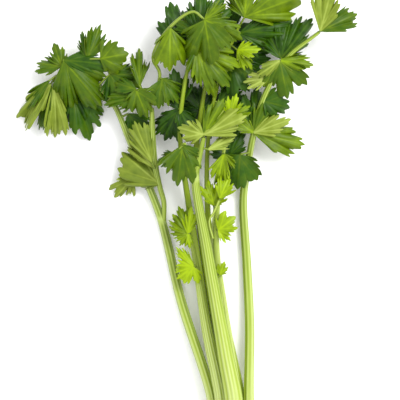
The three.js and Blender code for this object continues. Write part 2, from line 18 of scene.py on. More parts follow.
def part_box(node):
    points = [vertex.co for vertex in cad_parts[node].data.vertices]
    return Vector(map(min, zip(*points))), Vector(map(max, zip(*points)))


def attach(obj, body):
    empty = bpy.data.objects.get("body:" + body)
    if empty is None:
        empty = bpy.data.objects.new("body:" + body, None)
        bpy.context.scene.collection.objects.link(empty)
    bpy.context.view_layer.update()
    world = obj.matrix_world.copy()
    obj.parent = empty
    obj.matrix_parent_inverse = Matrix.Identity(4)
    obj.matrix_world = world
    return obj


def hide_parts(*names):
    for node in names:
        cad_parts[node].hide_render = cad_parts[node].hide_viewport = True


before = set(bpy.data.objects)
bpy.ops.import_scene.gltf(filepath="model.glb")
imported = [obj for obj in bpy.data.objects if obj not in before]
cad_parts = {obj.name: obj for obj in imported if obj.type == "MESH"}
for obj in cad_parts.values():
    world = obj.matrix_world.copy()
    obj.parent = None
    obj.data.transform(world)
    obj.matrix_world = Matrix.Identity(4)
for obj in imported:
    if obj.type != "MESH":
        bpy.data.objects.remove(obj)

LOG = logging.getLogger("celery")
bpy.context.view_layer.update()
BODY = "root"
MM = 0.001
SEED = 7

# Layout, in millimetres.
BUTT_AXIS_HEIGHT = 26.0
BUTT_RADIUS = 20.0
BUTT_LENGTH = 28.0
SECTION_BASE = 2.0  # of a stalk's thickness, with the share of its width below
SECTION_SHARE = 0.42
CHANNEL_SHARE = 0.25
ROUND_WIDTH = 3.0  # up to which a stalk has no channel down its inner side
RIB_HEIGHT = 0.9  # on a stalk 12 mm wide
STREAK_DRAW = 0.25  # how far a streak's pattern runs for each ring of a stalk
FULL_STRING = 8.0  # the width of a stalk from which its strings show fully
RING_WIDTH = 3.5  # of the swollen joint that a branch leaves
RING_SWELL = 0.1
BLANCHED_TO = 260.0  # how far from the cut face the stalks are still blanched
BLADE_NECK = 1.2  # half a blade's width where it leaves its stem
BLADE_REST = 1.7  # the least height of a blade and of a stalk over the layout's zero
STALK_REST = 0.8
BROAD_SPREAD = 38.0  # degrees, from which a blade's bays reach their full depth
YOUNG_TONE = 0.45  # below which a blade starts to look young, and the step to fully young
YOUNG_STEP = 0.2
MIDRIB = 0.6  # half a vein's width at its start, here and below
LOBE_VEIN = 0.4
LOW_LOBE_VEIN = 0.26
TOOTH_VEIN = 0.18
VEIN_FADE = 0.45  # how far a vein's pale edge reaches
FOOT_START = 5.0  # where a stalk's centre line starts inside the butt
FOOT_START_SHARE = 0.72  # how far out it starts, as a share of its seat's distance
FOOT_FULL = 30.0  # where it has its full distance
STEM_WIDTHS = (2.8, 2.4, 2.2)
STEM_BOW = 0.08  # how high a stem bows, as a share of its length
SHORTEST_STEM = 2.5

Place = tuple[float, float, float]


class Slot(Enum):
    """The record's material slots."""

    BUTT = "butt"
    STALK = "stalk"
    LEAF = "leaf"


# ---- the head's layout -------------------------------------------------------------------


@dataclass(frozen=True)
class StalkPlan:
    """Where one stalk or branch runs.

    `back` is the way its ribbed side faces, `widths` its width at even steps from foot to tip,
    and `seat` the angle and distance of its foot round the butt's axis; a branch has none.
    `ribs` counts the ribs on its back, `green` is how green it grows, and `ring` is how far along
    the head its swollen joint lies.
    """

    node: str
    back: Place
    widths: tuple[float, ...]
    route: tuple[Place, ...]
    seat: tuple[float, float] | None = None
    ribs: int = 9
    green: float = 0.5
    ring: float = -99.0


@dataclass(frozen=True)
class BladePlan:
    """One blade of a spray, from its start (the knot where none is given) to its tip.

    `spread` is half its fan, `droop` its arch, `fold` the V along its midrib and `roll` its turn
    about its length, all in degrees. `cut` is the depth of the bays between its lobes and `tone`
    runs from 0, young and yellow, to 1, old and dark; near 1 it is also painted shade, for blades
    that lie deep under the others.
    """

    tip: Place
    spread: float
    droop: float
    fold: float
    cut: float
    tone: float
    roll: float = 0.0
    start: Place | None = None


@dataclass(frozen=True)
class SprayPlan:
    """The blades that share one stem, and the stalk that bears it."""

    node: str
    bearer: str
    knot: Place
    blades: tuple[BladePlan, ...]


STALKS = (
    StalkPlan("outer_stalk_left", (-0.72, 0, 0.7), (14, 12.5, 12, 11, 9, 6.5, 4),
              ((-22, 53, 20), (-56, 161, 9), (-78, 251, 7), (-95, 296, 12), (-114, 341, 16),
               (-130, 378, 20), (-155, 405, 25), (-183, 425, 28)), (195, 22), 4, 0.72, 251),
    StalkPlan("outer_stalk_right", (0.6, 0, 0.8), (14, 11.5, 11, 10, 8, 6, 3.5),
              ((19, 53, 19), (20, 133, 11), (17, 202, 7), (13, 273, 8), (17, 306, 12), (23, 341, 22),
               (36, 388, 33), (60, 428, 42), (95, 456, 48)), (-15, 21), 4, 0.66),
    StalkPlan("front_stalk", (0, 0, 1), (21, 19, 16, 13, 11, 9, 5),
              ((2, 53, 46), (-7, 104, 44), (-27, 217, 42), (-40, 297, 45), (-37, 315, 47),
               (-31, 341, 52)), (86, 20), 6, 0.62, 297),
    StalkPlan("inner_stalk_left", (-0.5, 0, 0.86), (15, 15, 13, 9, 3),
              ((-12, 53, 33), (-28, 133, 27), (-41, 211, 24), (-47, 240, 27)), (150, 14), 8, 0.5),
    StalkPlan("inner_stalk_right", (0.5, 0, 0.86), (15, 14, 12, 8, 6, 4, 3),
              ((5, 53, 33), (-10, 161, 30), (-17, 228, 31), (-11, 311, 36), (-4, 359, 43)),
              (45, 10), 8, 0.45),
    StalkPlan("back_stalk_left", (-0.45, 0, -0.9), (14, 11, 10, 8.5, 6, 5, 3.4),
              ((-15, 53, 11), (-32, 163, 6.5), (-44, 245, 9), (-56, 328, 22), (-57, 355, 29),
               (-52, 399, 39), (-40, 451, 44)), (225, 21), 8, 0.6),
    StalkPlan("back_stalk_right", (0.45, 0, -0.9), (14, 10, 9, 7, 5, 4, 3),
              ((10, 53, 11), (-12, 163, 6.5), (-26, 256, 9), (-25, 350, 16), (-11, 416, 25),
               (7, 462, 34)), (305, 18), 8, 0.6),
    StalkPlan("under_stalk", (0, 0, -1), (12, 9, 8, 6, 3),
              ((-2, 53, 5), (-22, 163, 4.6), (-36, 256, 6), (-40, 317, 11), (-23, 436, 27)),
              (265, 21), 7, 0.6),
    StalkPlan("heart_stalk_long", (0, 0, 1), (8, 6, 5, 3),
              ((-4, 20, 29), (-5, 53, 26), (-19, 163, 23), (-21, 229, 26), (-19, 264, 32)),
              None, 5, 0.2),
    StalkPlan("heart_stalk_short", (0, 0, 1), (7, 5, 3),
              ((4, 20, 20), (2, 53, 18), (-18, 152, 20), (-19, 185, 33)), None, 5, 0.15),
    StalkPlan("left_branch", (-0.3, 0, 0.95), (5, 6, 8, 5),
              ((-75, 250, 9), (-75, 271, 14), (-79, 286, 18), (-86, 320, 25), (-88, 374, 33)),
              None, 5, 0.7),
    StalkPlan("left_arching_branch", (0, 0, 1), (3.6, 3.6, 4.4, 3.6, 2.6),
              ((-88, 377, 35), (-79, 411, 43), (-86, 428, 47), (-67, 461, 57), (-42, 477, 62),
               (-32, 470, 61)), None, 4, 0.75),
    StalkPlan("front_branch", (0, 0, 1), (7, 8, 5),
              ((-43, 304, 46), (-46, 317, 48), (-53, 335, 51)), None, 5, 0.55),
    StalkPlan("looping_branch", (0, 0, 1), (2.8, 2.6, 2.4),
              ((-21, 231, 35), (-25, 250, 38), (-19, 261, 39), (-14, 273, 40)), None, 3, 0.4),
)

B = BladePlan
# Blades whose sixth value is near 1 lie deep under the others: their near-black green is partly old
# leaf and partly painted shade.
SPRAYS = (
    SprayPlan("left_crown_leaf", "outer_stalk_left", (-184, 426, 36), (
        B((-142, 375, 30), 52, 34, -14, 0.18, 0.62),
        B((-132, 420, 42), 30, 30, -30, 0.25, 0.80, -8))),
    SprayPlan("left_spread_leaf", "outer_stalk_left", (-158, 427, 40), (
        B((-143, 466, 38), 30, 18, 14, 0.5, 0.72, 12),
        B((-164, 458, 34), 26, 22, 10, 0.4, 0.78),
        B((-113, 433, 40), 64, 46, -16, 0.16, 0.62, 0, (-144, 427, 44)))),
    SprayPlan("left_tuft_leaf", "outer_stalk_left", (-187, 420, 30), (
        B((-196, 446, 26), 40, 34, 12, 0.4, 0.66),
        B((-216, 424, 20), 36, 40, 8, 0.3, 0.68))),
    SprayPlan("left_drooping_leaf", "outer_stalk_left", (-192, 410, 27), (
        B((-194, 340, 10), 20, 30, 40, 0.48, 0.42, 168, (-196, 399, 24)),
        B((-232, 352, 8), 22, 34, 40, 0.4, 0.50, 200, (-199, 401, 25)),
        B((-214, 350, 9), 18, 30, 34, 0.4, 0.66, 14, (-199, 401, 25)),
        B((-229, 372, 15), 18, 26, 34, 0.35, 0.72, 20, (-201, 404, 27)))),
    SprayPlan("left_shaded_leaf", "outer_stalk_left", (-182, 405, 20), (
        B((-176, 351, 6), 32, 22, -12, 0.4, 0.88),
        B((-156, 338, 5), 30, 22, 10, 0.55, 0.85, -8, (-176, 397, 16)),
        B((-142, 366, 10), 34, 24, 6, 0.4, 0.86, 0, (-176, 397, 16)))),
    SprayPlan("left_inner_leaf", "outer_stalk_left", (-134, 411, 31), (
        B((-106, 381, 27), 46, 34, -10, 0.24, 0.64),
        B((-102, 410, 32), 40, 32, -8, 0.26, 0.74),
        B((-126, 440, 38), 40, 34, -10, 0.24, 0.66),
        B((-128, 378, 24), 34, 26, 6, 0.34, 0.86))),
    SprayPlan("left_low_leaf", "outer_stalk_left", (-114, 368, 22), (
        B((-94, 340, 12), 46, 30, 16, 0.26, 0.82, 8),)),
    SprayPlan("left_bract_leaf", "left_branch", (-94, 387, 38), (
        B((-141, 378, 38), 20, 20, -24, 0.3, 0.66, 14),
        B((-92, 362, 40), 60, 40, 12, 0.24, 0.56, 0, (-105, 394, 43)),
        B((-130, 402, 36), 34, 30, -8, 0.3, 0.7, 0, (-105, 394, 43)),
        B((-102, 441, 34), 22, 20, 26, 0.52, 0.58, 0, (-101, 398, 42)))),
    SprayPlan("left_curly_leaf", "left_arching_branch", (-76, 405, 46), (
        B((-80, 372, 38), 40, 52, 26, 0.34, 0.60, 10),
        B((-62, 396, 44), 40, 44, 20, 0.34, 0.74),
        B((-58, 378, 40), 36, 36, 10, 0.34, 0.66))),
    SprayPlan("left_pale_leaf", "left_branch", (-85, 308, 27), (
        B((-107, 360, 32), 22, 24, 24, 0.3, 0.50, 176, (-88, 315, 30)),
        B((-112, 338, 25), 18, 20, 12, 0.25, 0.46, 186))),
    SprayPlan("left_square_leaf", "left_branch", (-79, 290, 21), (
        B((-122, 326, 19), 36, 26, -14, 0.1, 0.52, 180),
        B((-106, 302, 14), 34, 26, -8, 0.14, 0.56, 180))),
    SprayPlan("left_foot_leaf", "outer_stalk_left", (-109, 299, 11), (
        B((-130, 275, 5), 40, 36, 10, 0.36, 0.52, 172),)),
    SprayPlan("front_star_leaf", "front_branch", (-54, 332, 55), (
        B((-60, 287, 46), 42, 30, 8, 0.44, 0.70),
        B((-36, 320, 56), 30, 24, 10, 0.3, 0.66),
        B((-84, 313, 40), 34, 30, 4, 0.3, 0.76, 6, (-62, 324, 50)))),
    SprayPlan("front_crown_leaf", "front_stalk", (-31, 344, 57), (
        B((-60, 352, 53), 46, 34, -16, 0.22, 0.34, 178),
        B((-9, 383, 62), 26, 26, 22, 0.22, 0.58),
        B((16, 365, 56), 24, 34, -12, 0.34, 0.34, 188))),
    SprayPlan("front_side_leaf", "front_stalk", (-26, 328, 50), (
        B((3, 341, 46), 20, 26, 14, 0.3, 0.32, 184),)),
    SprayPlan("left_dark_leaf", "back_stalk_left", (-58, 373, 32), (
        B((-76, 337, 20), 42, 34, 10, 0.34, 0.95, 8),
        B((-70, 396, 32), 40, 30, 10, 0.34, 0.92, 6),
        B((-44, 346, 37), 36, 30, 8, 0.34, 0.88),
        B((-64, 418, 28), 34, 28, 8, 0.34, 0.93),
        B((-84, 345, 16), 28, 28, 8, 0.34, 0.9))),
    SprayPlan("right_round_leaf", "outer_stalk_right", (9, 323, 31), (
        B((6, 284, 21), 68, 38, -14, 0.12, 0.72),)),
    SprayPlan("right_teal_leaf", "back_stalk_right", (-3, 322, 20), (
        B((-24, 334, 21), 50, 30, 14, 0.2, 1.0),
        B((14, 340, 20), 36, 28, 8, 0.3, 0.94),
        B((6, 356, 14), 30, 28, 8, 0.3, 0.96))),
    SprayPlan("right_wavy_leaf", "inner_stalk_right", (-9, 323, 41), (
        B((-17, 284, 35), 28, 36, 22, 0.26, 0.34, 10),
        B((4, 306, 36), 30, 28, 14, 0.3, 0.4))),
    SprayPlan("heart_leaf", "heart_stalk_long", (-20, 267, 34), (
        B((-26, 295, 37), 42, 30, 26, 0.42, 0.22),
        B((-15, 292, 34), 30, 26, 18, 0.4, 0.30),
        B((-6, 280, 33), 30, 26, 16, 0.4, 0.24))),
    SprayPlan("right_maple_leaf", "inner_stalk_right", (-15, 240, 37), (
        B((4, 255, 37), 58, 26, 16, 0.42, 0.14),
        B((-1, 228, 34), 34, 26, 10, 0.4, 0.16))),
    SprayPlan("right_loop_leaf", "looping_branch", (-13, 275, 42), (
        B((-3, 300, 41), 38, 26, 20, 0.24, 0.26),)),
    SprayPlan("heart_bud_leaf", "heart_stalk_short", (-13, 191, 38), (
        B((-8, 206, 39), 50, 26, 18, 0.35, 0.18),)),
    SprayPlan("inner_yellow_leaf", "inner_stalk_left", (-42, 200, 33), (
        B((-53, 181, 27), 68, 40, -10, 0.38, 0.08),
        B((-62, 201, 30), 36, 30, 10, 0.36, 0.12),
        B((-61, 186, 28), 34, 32, 8, 0.36, 0.1),
        B((-62, 222, 31), 20, 24, 12, 0.4, 0.2))),
    SprayPlan("inner_green_leaf", "inner_stalk_left", (-48, 236, 32), (
        B((-70, 244, 27), 36, 36, 8, 0.44, 0.38),
        B((-58, 222, 28), 40, 40, 4, 0.44, 0.30),
        B((-59, 267, 30), 34, 30, 16, 0.44, 0.40),
        B((-44, 266, 36), 28, 26, 20, 0.44, 0.24),
        B((-66, 258, 28), 30, 30, 12, 0.44, 0.34),
        B((-46, 219, 34), 32, 30, 12, 0.4, 0.26))),
    SprayPlan("arch_hanging_leaf", "left_arching_branch", (-67, 459, 60), (
        B((-68, 412, 52), 40, 40, -18, 0.34, 0.50),)),
    SprayPlan("arch_crown_leaf", "left_arching_branch", (-30, 468, 63), (
        B((-22, 420, 58), 60, 36, -10, 0.4, 0.58),
        B((12, 447, 58), 30, 34, -8, 0.36, 0.52),
        B((-6, 486, 62), 30, 20, 10, 0.26, 0.56, 4))),
    SprayPlan("top_lobed_leaf", "back_stalk_left", (-38, 438, 49), (
        B((-18, 384, 45), 28, 26, 10, 0.36, 0.56),
        B((10, 418, 48), 32, 28, 0, 0.34, 0.46),
        B((-42, 400, 46), 26, 26, 10, 0.36, 0.66),
        B((-2, 396, 42), 32, 28, 6, 0.34, 0.62))),
    SprayPlan("top_dark_leaf_left", "back_stalk_left", (-52, 430, 36), (
        B((-68, 491, 36), 34, 22, 10, 0.3, 0.86),
        B((-82, 447, 30), 36, 30, 8, 0.38, 0.84),
        B((-54, 484, 28), 34, 26, 8, 0.3, 0.8))),
    SprayPlan("top_dark_leaf_middle", "back_stalk_left", (-36, 453, 44), (
        B((-34, 506, 46), 34, 22, 10, 0.3, 0.86),
        B((-8, 496, 40), 32, 24, 12, 0.3, 0.78),
        B((-64, 470, 40), 32, 26, 10, 0.34, 0.74))),
    SprayPlan("top_bright_leaf", "back_stalk_right", (14, 473, 41), (
        B((78, 496, 46), 30, 26, -14, 0.22, 0.48),
        B((16, 511, 42), 30, 22, 18, 0.34, 0.50, 6),
        B((-6, 500, 38), 22, 20, 16, 0.34, 0.60))),
    SprayPlan("top_dark_leaf_right", "back_stalk_right", (9, 456, 34), (
        B((67, 470, 34), 26, 22, -20, 0.28, 0.90),
        B((57, 449, 29), 26, 24, -10, 0.3, 0.80),
        B((38, 436, 26), 34, 28, 8, 0.34, 0.88))),
    SprayPlan("middle_dark_leaf", "back_stalk_right", (-4, 431, 28), (
        B((42, 426, 24), 34, 30, 12, 0.34, 0.95),
        B((20, 392, 20), 40, 34, 12, 0.34, 0.98),
        B((-24, 394, 20), 34, 30, 8, 0.34, 0.95),
        B((-34, 418, 18), 36, 28, 8, 0.34, 0.96),
        B((28, 410, 32), 34, 28, 8, 0.34, 0.72),
        B((2, 384, 27), 36, 30, 8, 0.34, 0.9),
        B((46, 441, 20), 28, 26, 8, 0.34, 0.94))),
    SprayPlan("middle_yellow_leaf", "back_stalk_right", (6, 437, 37), (
        B((32, 438, 40), 46, 30, 24, 0.38, 0.16),
        B((22, 416, 40), 32, 28, 16, 0.36, 0.34))),
    SprayPlan("middle_low_leaf", "back_stalk_right", (-15, 381, 19), (
        B((15, 366, 14), 40, 30, 10, 0.34, 0.96),
        B((12, 398, 22), 36, 28, 8, 0.34, 0.86),
        B((-4, 350, 14), 36, 28, 8, 0.34, 0.9),
        B((26, 377, 15), 46, 28, 8, 0.3, 0.94, 0, (-4, 378, 20)))),
    SprayPlan("under_leaf", "under_stalk", (-34, 372, 15), (
        B((-62, 358, 7), 42, 30, 0, 0.34, 0.98),
        B((-22, 339, 7), 40, 30, 0, 0.34, 0.96),
        B((-46, 402, 12), 38, 28, 0, 0.34, 0.98),
        B((-10, 392, 12), 36, 28, 0, 0.34, 0.97),
        B((-71, 390, 8), 34, 28, 0, 0.34, 0.96))),
    SprayPlan("under_top_leaf", "under_stalk", (-24, 434, 24), (
        B((-44, 471, 22), 38, 26, 0, 0.34, 0.95),
        B((-11, 473, 22), 36, 26, 0, 0.34, 0.95),
        B((8, 484, 20), 36, 26, 0, 0.34, 0.92),
        B((-66, 446, 18), 36, 28, 8, 0.34, 0.98),
        B((23, 467, 16), 32, 26, 0, 0.34, 0.93))),
    SprayPlan("right_pointing_leaf", "outer_stalk_right", (54, 428, 36), (
        B((88, 472, 37), 22, 22, -18, 0.24, 0.88),
        B((62, 478, 30), 24, 22, 0, 0.34, 0.95),
        B((36, 462, 33), 32, 26, 8, 0.34, 0.86),
        B((82, 446, 33), 28, 24, 8, 0.3, 0.9))),
    SprayPlan("right_crown_leaf", "outer_stalk_right", (96, 457, 51), (
        B((110, 509, 57), 28, 24, 18, 0.14, 0.40, 180),
        B((138, 477, 45), 24, 26, 22, 0.24, 0.70))),
    SprayPlan("right_lobed_leaf", "outer_stalk_right", (52, 425, 46), (
        B((61, 383, 38), 56, 34, -14, 0.26, 0.60),
        B((89, 420, 44), 26, 24, 8, 0.34, 0.48),
        B((27, 408, 48), 26, 40, -8, 0.1, 0.55, 176),
        B((34, 396, 38), 34, 30, -8, 0.34, 0.64))),
    SprayPlan("right_pale_leaf", "outer_stalk_right", (41, 407, 40), (
        B((12, 402, 38), 32, 34, 16, 0.34, 0.22, 182),)),
    SprayPlan("right_serrate_leaf", "outer_stalk_right", (35, 381, 33), (
        B((65, 374, 26), 60, 34, 8, 0.1, 0.86),)),
    SprayPlan("right_fan_leaf", "outer_stalk_right", (24, 347, 28), (
        B((46, 382, 28), 28, 24, 22, 0.2, 0.56),
        B((65, 362, 30), 26, 26, 16, 0.26, 0.34, 182),
        B((81, 334, 18), 26, 26, 24, 0.16, 0.50),
        B((3, 362, 30), 32, 28, 12, 0.34, 0.5),
        B((40, 374, 24), 34, 26, 8, 0.34, 0.8),
        B((12, 387, 22), 32, 26, 8, 0.34, 0.84),
        B((28, 399, 19), 30, 26, 8, 0.34, 0.86))),
    SprayPlan("right_small_leaf", "inner_stalk_right", (-3, 362, 46), (
        B((5, 389, 50), 36, 34, 22, 0.3, 0.18),
        B((20, 376, 46), 30, 30, 20, 0.34, 0.30),
        B((-16, 346, 43), 34, 28, 14, 0.3, 0.28))),
)


# ---- small helpers -----------------------------------------------------------------------


def layout_origin() -> Vector:
    """Where the layout's zero lies in the frame.

    Returns:
        The place, in metres, of the point on the surface under the butt's cut face.
    """
    low, high = (Vector(corner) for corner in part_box("butt"))
    return Vector(((low.x + high.x) / 2, low.y, (low.z + high.z) / 2 - BUTT_AXIS_HEIGHT * MM))


def linear(hexcode: str) -> tuple[float, float, float, float]:
    """Turn an sRGB hex colour to linear light.

    Args:
        hexcode: Six hex digits, with or without a leading hash.

    Returns:
        Red, green, blue and a full alpha.
    """
    digits = hexcode.lstrip("#")
    values = (int(digits[i:i + 2], 16) / 255 for i in (0, 2, 4))
    light = (v / 12.92 if v <= 0.04045 else ((v + 0.055) / 1.055) ** 2.4 for v in values)
    return (*light, 1.0)


def square_to(vector: Vector, axis: Vector) -> Vector:
    """Take out of a vector its part along an axis.

    Args:
        vector: Any vector that isn't along the axis.
        axis: A unit vector.

    Returns:
        The rest of the vector, one unit long.
    """
    return (vector - axis * vector.dot(axis)).normalized()


def clear_selection() -> None:
    """Deselect every object."""
    bpy.ops.object.select_all(action="DESELECT")


def select_alone(piece: bpy.types.Object) -> None:
    """Make one piece the active object and the only one selected.

    Args:
        piece: The piece to work on.
    """
    clear_selection()
    piece.select_set(True)
    bpy.context.view_layer.objects.active = piece


def between(a: np.ndarray, b: np.ndarray, ta: float, tb: float, t: float) -> np.ndarray:
    """Blend two places by where t lies between their knots.

    Args:
        a: The place at knot ta.
        b: The place at knot tb.
        ta: The first knot.
        tb: The second knot.
        t: Where to blend.

    Returns:
        The place at t.
    """
    return a * ((tb - t) / (tb - ta)) + b * ((t - ta) / (tb - ta))


def centre_line(points: list[Vector], samples: int = 240) -> np.ndarray:
    """Run a smooth centripetal curve through points, sampled evenly along its length.

    Args:
        points: The points that the curve passes, in millimetres.
        samples: How many places to give back.

    Returns:
        An array of places, one row each.
    """
    reach = [points[0] * 2 - points[1], *points, points[-1] * 2 - points[-2]]
    dense: list[np.ndarray] = []
    for i in range(1, len(reach) - 2):
        p = [np.array(reach[i + k]) for k in (-1, 0, 1, 2)]
        k = [0.0]
        for a, b in zip(p, p[1:]):
            k.append(k[-1] + float(np.linalg.norm(b - a)) ** 0.5)
        for t in np.linspace(k[1], k[2], 24, endpoint=False):
            first = [between(p[j], p[j + 1], k[j], k[j + 1], t) for j in range(3)]
            second = [between(first[j], first[j + 1], k[j], k[j + 2], t) for j in range(2)]
            dense.append(between(second[0], second[1], k[1], k[2], t))
    dense.append(np.array(reach[-2]))
    line = np.array(dense)
    lengths = np.linalg.norm(np.diff(line, axis=0), axis=1)
    run = np.concatenate([[0.0], np.cumsum(lengths)])
    even = np.linspace(0.0, run[-1], samples)
    return np.stack([np.interp(even, run, line[:, axis]) for axis in range(3)], axis=1)


def rest_on_table(heights: np.ndarray, rest: float) -> np.ndarray:
    """Ease heights that would pass through the table to just above it.

    Args:
        heights: Heights in millimetres.
        rest: The least height that is left.

    Returns:
        The eased heights.
    """
    above = heights - rest - 1
    return np.where(above < 0, rest + np.exp(np.minimum(above, 0)), heights)


def close_skin(piece: bpy.types.Object, weld_mm: float, crease: float, capped: bool) -> None:
    """Weld a rolled-up grid's seam, turn its normals outward and shade it smooth.

    Args:
        piece: The grid, rolled up.
        weld_mm: How near two vertices are that become one.
        crease: The angle in degrees from which an edge stays sharp.
        capped: Whether its open ends are closed by a face.
    """
    select_alone(piece)
    bpy.ops.object.mode_set(mode="EDIT")
    bpy.ops.mesh.select_all(action="SELECT")
    bpy.ops.mesh.remove_doubles(threshold=weld_mm * MM)
    if capped:
        bpy.ops.mesh.select_all(action="DESELECT")
        bpy.ops.mesh.select_mode(type="EDGE")
        bpy.ops.mesh.select_non_manifold()
        bpy.ops.mesh.edge_face_add()
        bpy.ops.mesh.select_all(action="SELECT")
    bpy.ops.mesh.normals_make_consistent(inside=False)
    bpy.ops.object.mode_set(mode="OBJECT")
    bpy.ops.object.shade_smooth_by_angle(angle=math.radians(crease))


def add_grid(name: str, columns: int, rows: int) -> bpy.types.Object:
    """Add a flat grid primitive to shape.

    Args:
        name: The new object's name.
        columns: Faces along X.
        rows: Faces along Y.

    Returns:
        The grid, two units wide, active and alone in the selection.
    """
    clear_selection()
    bpy.ops.mesh.primitive_grid_add(x_subdivisions=columns, y_subdivisions=rows, size=2.0)
    grid = bpy.context.object
    grid.name = name
    return grid


def grid_places(grid: bpy.types.Object) -> tuple[np.ndarray, np.ndarray]:
    """Read a fresh grid's own coordinates.

    Args:
        grid: A grid from add_grid.

    Returns:
        Each vertex's place across, from -1 to 1, and along, from 0 to 1.
    """
    flat = np.empty(len(grid.data.vertices) * 3)
    grid.data.vertices.foreach_get("co", flat)
    places = flat.reshape(-1, 3)
    return places[:, 0], (places[:, 1] + 1) / 2


def move_vertices(piece: bpy.types.Object, places: np.ndarray, origin: Vector) -> None:
    """Put a piece's vertices where they belong in the frame.

    Args:
        piece: The piece, at the origin.
        places: A row in layout millimetres for each vertex.
        origin: The layout's zero in the frame, in metres.
    """
    metres = places * MM + np.array(origin)
    piece.data.vertices.foreach_set("co", metres.astype(np.float32).ravel())
    piece.data.update()


def set_attribute(piece: bpy.types.Object, name: str, values: np.ndarray) -> None:
    """Store a value for each vertex for the materials to read.

    Args:
        piece: The piece whose mesh gets the attribute.
        name: The attribute's name.
        values: One number for each vertex.
    """
    attribute = piece.data.attributes.new(name, "FLOAT", "POINT")
    full = np.broadcast_to(values, len(piece.data.vertices))
    attribute.data.foreach_set("value", full.astype(np.float32))


def join_pieces(pieces: list[bpy.types.Object], name: str) -> bpy.types.Object:
    """Join pieces that grew as one.

    Args:
        pieces: The pieces; the first one's mesh takes in the rest.
        name: The joined piece's name.

    Returns:
        The joined piece.
    """
    clear_selection()
    for piece in pieces:
        piece.select_set(True)
    bpy.context.view_layer.objects.active = pieces[0]
    if len(pieces) > 1:
        bpy.ops.object.join()
    joined = bpy.context.object
    joined.name = name
    joined.data.name = name
    return joined


def hand_over(piece: bpy.types.Object, node: str) -> None:
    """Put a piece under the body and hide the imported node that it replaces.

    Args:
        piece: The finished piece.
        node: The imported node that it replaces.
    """
    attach(piece, BODY)
    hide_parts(node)
    LOG.info("%s: %d faces", piece.name, len(piece.data.polygons))


# ---- materials ---------------------------------------------------------------------------


def add_node(tree: bpy.types.NodeTree, kind: str, settings: dict | None = None,
             **links: object) -> bpy.types.Node:
    """Add a node with its settings and its links.

    Args:
        tree: The material's node tree.
        kind: The node's type name.
        settings: Properties of the node, by name.
        **links: Inputs by name, with _ for a space; an output socket is linked, a value is set.

    Returns:
        The new node.
    """
    node = tree.nodes.new(kind)
    for key, value in (settings or {}).items():
        setattr(node, key, value)
    for key, value in links.items():
        index = int(key[1:]) if key[0] == "i" and key[1:].isdigit() else key.replace("_", " ")
        socket = node.inputs[index]
        if isinstance(value, bpy.types.NodeSocket):
            tree.links.new(value, socket)
        else:
            socket.default_value = value
    return node


def add_ramp(tree: bpy.types.NodeTree, factor: bpy.types.NodeSocket,
             stops: tuple[tuple[float, str], ...]) -> bpy.types.NodeSocket:
    """Turn a number to a colour.

    Args:
        tree: The material's node tree.
        factor: The number, from 0 to 1.
        stops: Places along the ramp with their sRGB hex colours.

    Returns:
        The colour socket.
    """
    ramp = add_node(tree, "ShaderNodeValToRGB", Fac=factor)
    bands = ramp.color_ramp.elements
    while len(bands) < len(stops):
        bands.new(0.5)
    for band, (place, colour) in zip(bands, stops):
        band.position = place
        band.color = linear(colour)
    return ramp.outputs["Color"]


def read_attribute(tree: bpy.types.NodeTree, name: str) -> bpy.types.NodeSocket:
    """Read one of a piece's own attributes.

    Args:
        tree: The material's node tree.
        name: The attribute's name.

    Returns:
        The number's socket.
    """
    return add_node(tree, "ShaderNodeAttribute", {"attribute_name": name}).outputs["Fac"]


def scale_and_add(tree: bpy.types.NodeTree, factor: object, by: float, add: object,
                  clamp: bool = False) -> bpy.types.NodeSocket:
    """Multiply a number and add to it.

    Args:
        tree: The material's node tree.
        factor: The number.
        by: What it's multiplied by.
        add: What is added.
        clamp: Whether the result is kept from 0 to 1.

    Returns:
        The result's socket.
    """
    settings = {"operation": "MULTIPLY_ADD", "use_clamp": clamp}
    return add_node(tree, "ShaderNodeMath", settings, i0=factor, i1=by, i2=add).outputs[0]


def add_noise(tree: bpy.types.NodeTree, where: bpy.types.NodeSocket, scale: float,
              detail: float) -> bpy.types.NodeSocket:
    """Add a soft noise.

    Args:
        tree: The material's node tree.
        where: The places that it's read at.
        scale: How many blotches fit in one unit.
        detail: How many finer layers it has.

    Returns:
        The noise's socket.
    """
    noise = add_node(tree, "ShaderNodeTexNoise", Vector=where, Scale=scale, Detail=detail)
    return noise.outputs["Fac"]


def fresh_material(name: str) -> tuple[bpy.types.Material, bpy.types.NodeTree]:
    """Start a material with nothing but its output.

    Args:
        name: The material's name.

    Returns:
        The material and its node tree.
    """
    material = bpy.data.materials.new(name)
    material.use_nodes = True
    tree = material.node_tree
    tree.nodes.clear()
    tree.nodes.new("ShaderNodeOutputMaterial")
    return material, tree


def finish_material(tree: bpy.types.NodeTree, **links: object) -> None:
    """Close a material with one Principled shader.

    Args:
        tree: The material's node tree.
        **links: The shader's inputs, as add_node takes them.
    """
    shader = add_node(tree, "ShaderNodeBsdfPrincipled", **links)
    output = tree.nodes["Material Output"]
    tree.links.new(shader.outputs["BSDF"], output.inputs["Surface"])


